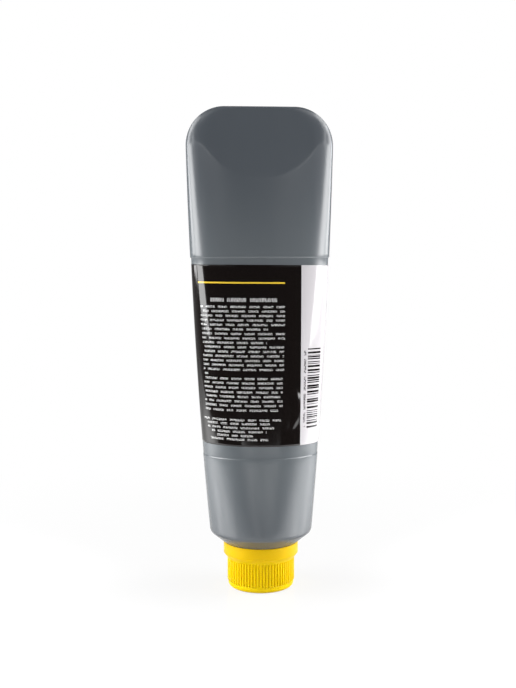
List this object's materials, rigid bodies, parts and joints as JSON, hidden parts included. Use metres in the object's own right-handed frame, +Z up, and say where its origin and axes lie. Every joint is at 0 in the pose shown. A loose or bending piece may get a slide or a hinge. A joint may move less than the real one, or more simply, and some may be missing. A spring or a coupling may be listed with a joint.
{
  "type": "tube of graphite grease",
  "caption": "Grey plastic squeeze tube of graphite grease, round at the shoulder and flat at the tail, with a wrap label, standing on a ribbed yellow screw cap that unscrews.",
  "frame": {"origin": "centre of the cap's flat end, on which the tube stands", "axes": "+Z up from the cap to the tail, +X along the width of the flat tail, -Y towards the printed back of the label"},
  "size_m": [0.076, 0.0536, 0.25],
  "materials": {
    "grey_hdpe": "blow-moulded HDPE, satin gloss",
    "printed_film": "printed and laminated film, glossy",
    "yellow_pp": "injection-moulded PP, satin gloss",
    "foamed_pe": "foamed PE sheet, matt",
    "seal_foil": "rolled foil, bright",
    "graphite_grease": "soft grease with graphite, dark and greasy"
  },
  "bodies": {
    "tube": {"tube_body": "grey_hdpe", "wrap_label": "printed_film", "foil_seal": "seal_foil", "grease_fill": "graphite_grease"},
    "wad": {"cap_wad": "foamed_pe"},
    "cap": {"screw_cap": "yellow_pp"}
  },
  "joints": [
    {"name": "cap_lift", "type": "slide", "parent": "tube", "child": "wad", "axis": [0, 0, -1], "range_m": [0, 0.006]},
    {"name": "cap_unscrew", "type": "hinge", "parent": "wad", "child": "cap", "pos_m": [0, 0, 0], "axis": [0, 0, -1], "range_deg": [0, 540]}
  ],
  "couplings": [
    {"joint": "cap_lift", "follows": "cap_unscrew", "m_per_rad": 0.0006366}
  ]
}
